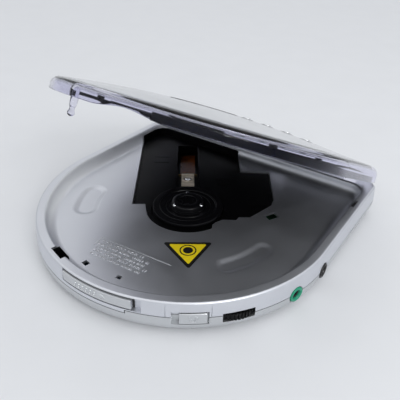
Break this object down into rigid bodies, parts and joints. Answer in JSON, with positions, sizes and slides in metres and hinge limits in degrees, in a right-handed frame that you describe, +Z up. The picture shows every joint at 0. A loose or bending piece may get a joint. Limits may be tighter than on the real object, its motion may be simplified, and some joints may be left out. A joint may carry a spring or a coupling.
{
  "type": "portable cd player",
  "caption": "Slim round-fronted portable disc player with a hinged clear-edged lid, exposed disc well and spindle, rim controls and jacks.",
  "frame": {"origin": "on the disc spindle's axis, on the plane that the rubber feet stand on", "axes": "+Z up, -Y to the rounded front with the open slider, +Y to the straight rear with the lid hinge, +X to the side with the jacks"},
  "size_m": [0.1325, 0.1339, 0.0764],
  "materials": {
    "case_silver": "satin silver moulded plastic",
    "mechanism_black": "fine matt black moulding",
    "turntable_black": "smooth black moulding",
    "clear_lid": "clear polycarbonate with a faint violet tint",
    "lid_silver": "smooth silver lacquer",
    "liner_black": "glossy blue-black moulding",
    "display_glass": "dark smoked window",
    "steel": "bright machined steel",
    "chrome": "polished chrome",
    "rubber": "matt black rubber",
    "circuit_board": "green solder resist",
    "chip_black": "matt epoxy",
    "jack_green": "smooth green plastic",
    "jack_black": "smooth black plastic",
    "wheel_black": "ribbed matt black plastic",
    "cell_wrap": "shrink-wrapped cell",
    "flex_copper": "amber polyimide film over copper",
    "lens_gold": "tan lens carrier",
    "lens_glass": "coated objective lens",
    "screw_white": "natural acetal",
    "label_yellow": "printed yellow film with a black border"
  },
  "bodies": {
    "case": {"lower_case": "case_silver", "upper_case": "case_silver", "mechanism_deck": "mechanism_black", "spindle_motor": "steel", "feed_motor": "steel", "guide_rod_left": "steel", "guide_rod_right": "steel", "pickup_flex": "flex_copper", "main_board": "circuit_board", "decoder_chip": "chip_black", "amplifier_chip": "chip_black", "headphone_jack": "jack_green", "power_jack": "jack_black", "volume_pot": "chip_black", "hold_switch_body": "chip_black", "lid_switch_body": "chip_black", "latch_spring": "steel", "battery_cell": "cell_wrap", "battery_contact_plus": "steel", "battery_contact_minus": "steel", "foot_1": "rubber", "foot_2": "rubber", "foot_3": "rubber", "foot_4": "rubber", "case_screw_1": "steel", "case_screw_2": "steel", "case_screw_3": "steel", "case_screw_4": "steel", "hinge_pin_left": "steel", "hinge_pin_right": "steel", "symbol_label": "label_yellow"},
    "lid": {"lid_shell": "clear_lid", "lid_plate": "lid_silver", "lid_liner": "liner_black", "display_window": "display_glass", "display_module": "chip_black", "button_board": "circuit_board"},
    "spindle": {"turntable": "turntable_black", "spindle_hub": "turntable_black", "spindle_shaft": "steel", "clamp_ball_1": "chrome", "clamp_ball_2": "chrome", "clamp_ball_3": "chrome"},
    "sled": {"pickup_sled": "mechanism_black"},
    "lens": {"lens_holder": "lens_gold", "objective_lens": "lens_glass"},
    "screw": {"feed_screw": "screw_white"},
    "volume": {"volume_wheel": "wheel_black"},
    "hold": {"hold_knob": "case_silver"},
    "latch": {"open_slider": "case_silver", "latch_hook": "steel"},
    "lid_switch": {"lid_switch_pin": "chip_black"},
    "door": {"battery_door": "case_silver"},
    "button_1": {"lid_button_1": "chrome"},
    "button_2": {"lid_button_2": "chrome"},
    "button_3": {"lid_button_3": "chrome"},
    "button_4": {"lid_button_4": "chrome"}
  },
  "joints": [
    {"name": "lid_hinge", "type": "hinge", "parent": "case", "child": "lid", "pos_m": [0, 0.062, 0.0096], "axis": [-1, 0, 0], "range_deg": [-27.6, 45]},
    {"name": "disc_spin", "type": "hinge", "parent": "case", "child": "spindle", "pos_m": [0, 0, 0.0113], "axis": [0, 0, 1], "continuous": true},
    {"name": "sled_feed", "type": "slide", "parent": "case", "child": "sled", "axis": [-0.5878, 0.809, 0], "range_m": [0, 0.032]},
    {"name": "screw_turn", "type": "hinge", "parent": "case", "child": "screw", "pos_m": [-0.00939, 0.04015, 0.005], "axis": [-0.5878, 0.809, 0], "range_deg": [0, 2890]},
    {"name": "lens_focus", "type": "slide", "parent": "sled", "child": "lens", "axis": [0, 0, 1], "range_m": [-0.0002, 0.0002], "stiffness_N_per_m": 60},
    {"name": "volume_turn", "type": "hinge", "parent": "case", "child": "volume", "pos_m": [0.04503, -0.03544, 0.0073], "axis": [0, 0, 1], "range_deg": [-135, 135]},
    {"name": "hold_slide", "type": "hinge", "parent": "case", "child": "hold", "pos_m": [0, 0, 0.0085], "axis": [0, 0, 1], "range_deg": [-2, 0]},
    {"name": "open_slide", "type": "hinge", "parent": "case", "child": "latch", "pos_m": [0, 0, 0.0118], "axis": [0, 0, 1], "range_deg": [0, 2.4], "stiffness_Nm_per_rad": 2.5},
    {"name": "lid_switch_press", "type": "slide", "parent": "case", "child": "lid_switch", "axis": [0, 0, -1], "range_m": [0, 0.0012], "stiffness_N_per_m": 300},
    {"name": "battery_door_slide", "type": "slide", "parent": "case", "child": "door", "axis": [0, -1, 0], "range_m": [0, 0.02]},
    {"name": "button_1_press", "type": "slide", "parent": "lid", "child": "button_1", "axis": [0, -0.4633, -0.8862], "range_m": [0, 0.0006], "stiffness_N_per_m": 800},
    {"name": "button_2_press", "type": "slide", "parent": "lid", "child": "button_2", "axis": [0, -0.4633, -0.8862], "range_m": [0, 0.0006], "stiffness_N_per_m": 800},
    {"name": "button_3_press", "type": "slide", "parent": "lid", "child": "button_3", "axis": [0, -0.4633, -0.8862], "range_m": [0, 0.0006], "stiffness_N_per_m": 800},
    {"name": "button_4_press", "type": "slide", "parent": "lid", "child": "button_4", "axis": [0, -0.4633, -0.8862], "range_m": [0, 0.0006], "stiffness_N_per_m": 800}
  ],
  "couplings": [
    {"joint": "screw_turn", "follows": "sled_feed", "rad_per_m": 1570.8}
  ]
}
